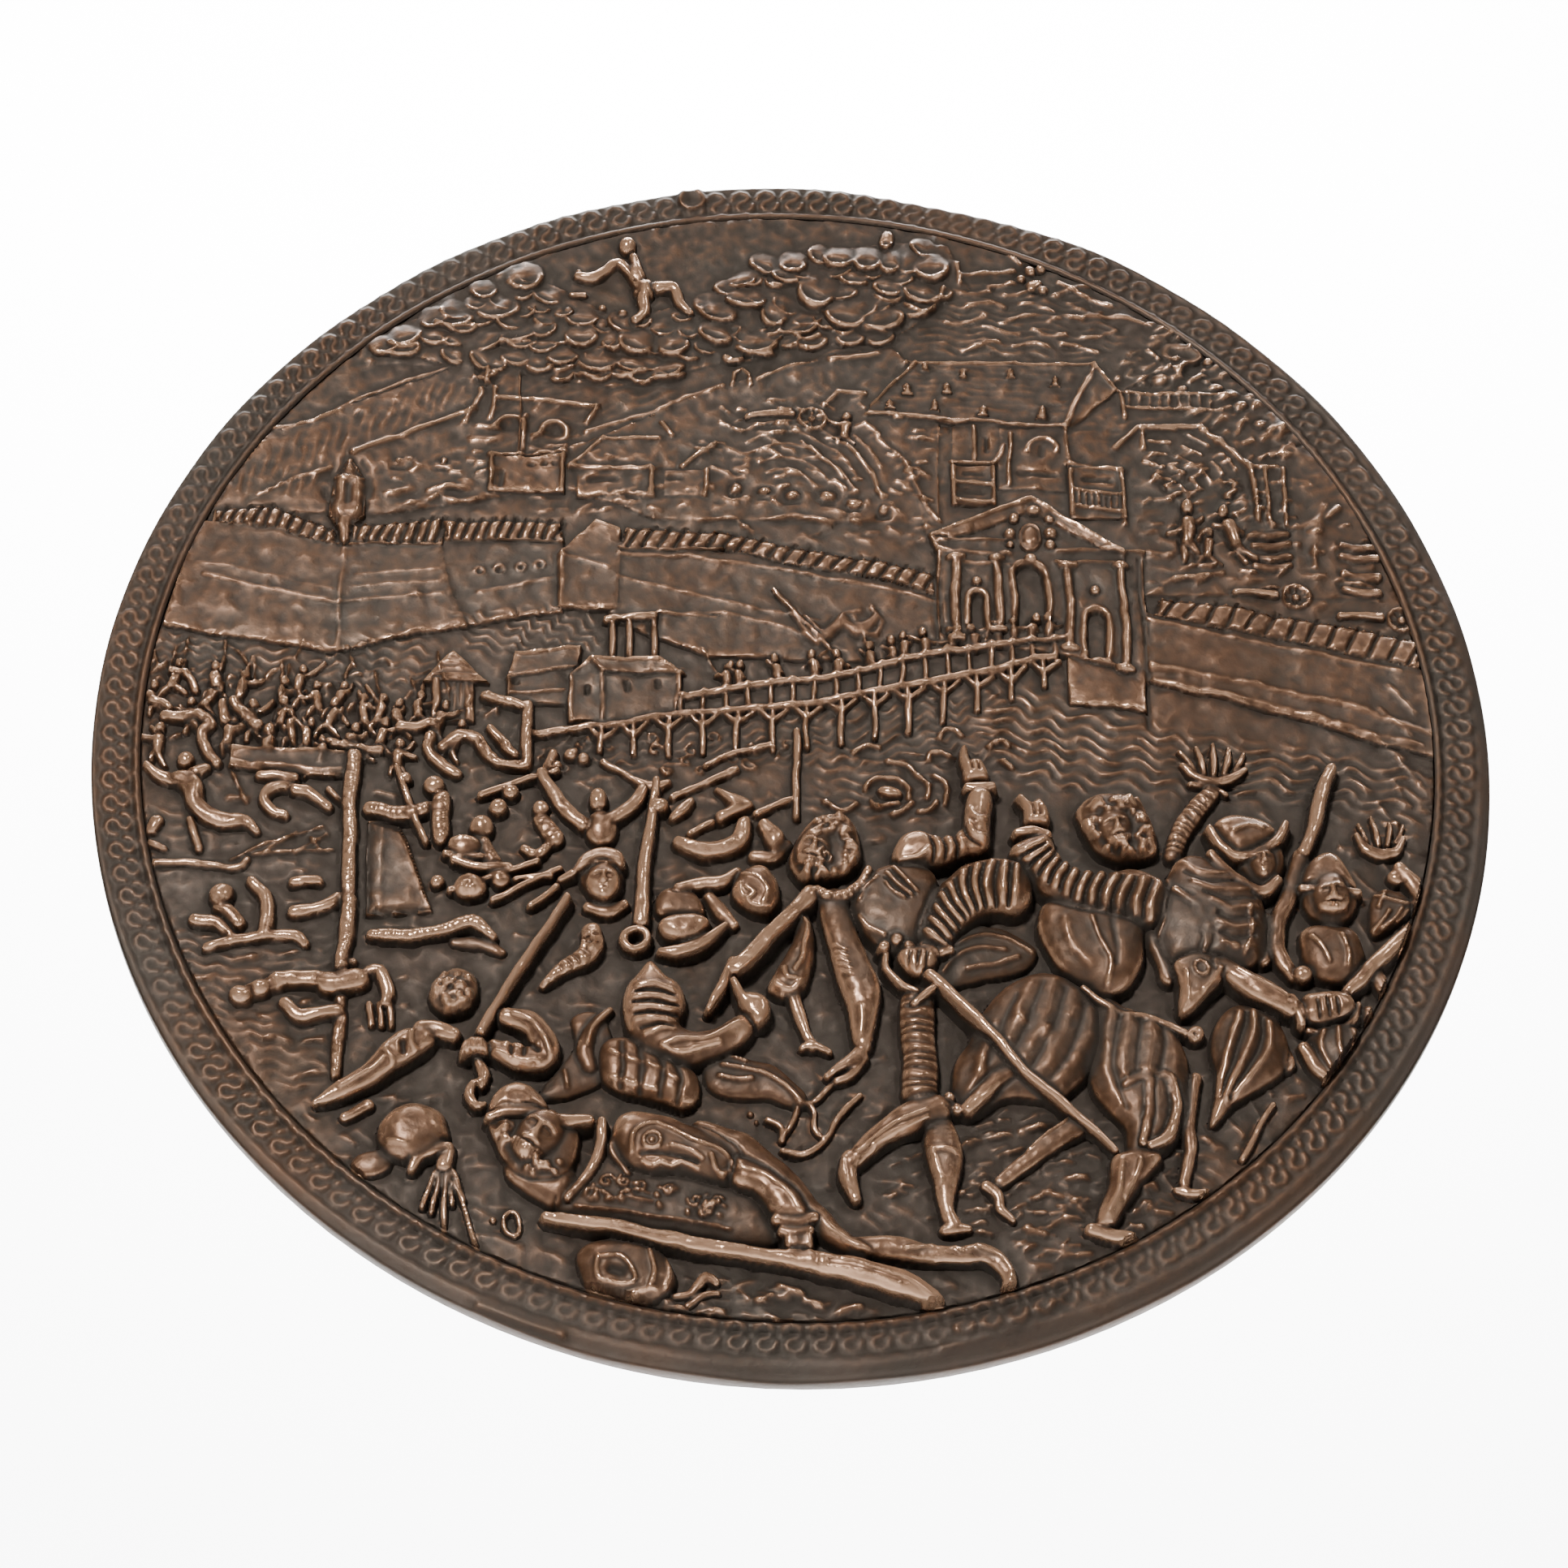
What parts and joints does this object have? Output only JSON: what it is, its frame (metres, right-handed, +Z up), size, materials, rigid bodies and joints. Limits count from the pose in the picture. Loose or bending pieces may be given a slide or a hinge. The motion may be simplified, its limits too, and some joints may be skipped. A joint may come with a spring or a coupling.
{
  "type": "relief plaque",
  "caption": "Round cast metal plaque with a siege scene in relief, soldiers in front of a walled town, inside a chain-pattern border",
  "frame": {"origin": "centre of the flat back face, at the mount", "axes": "+Z up, +Y out of the flat back into the wall, relief facing -Y, +X to the viewer's right"},
  "size_m": [0.1986, 0.0086, 0.1985],
  "materials": {
    "patinated_copper": "brown patina, dark in the hollows, rubbed to warm copper on the high forms"
  },
  "bodies": {
    "root": {"relief_plaque": "patinated_copper"}
  },
  "joints": []
}
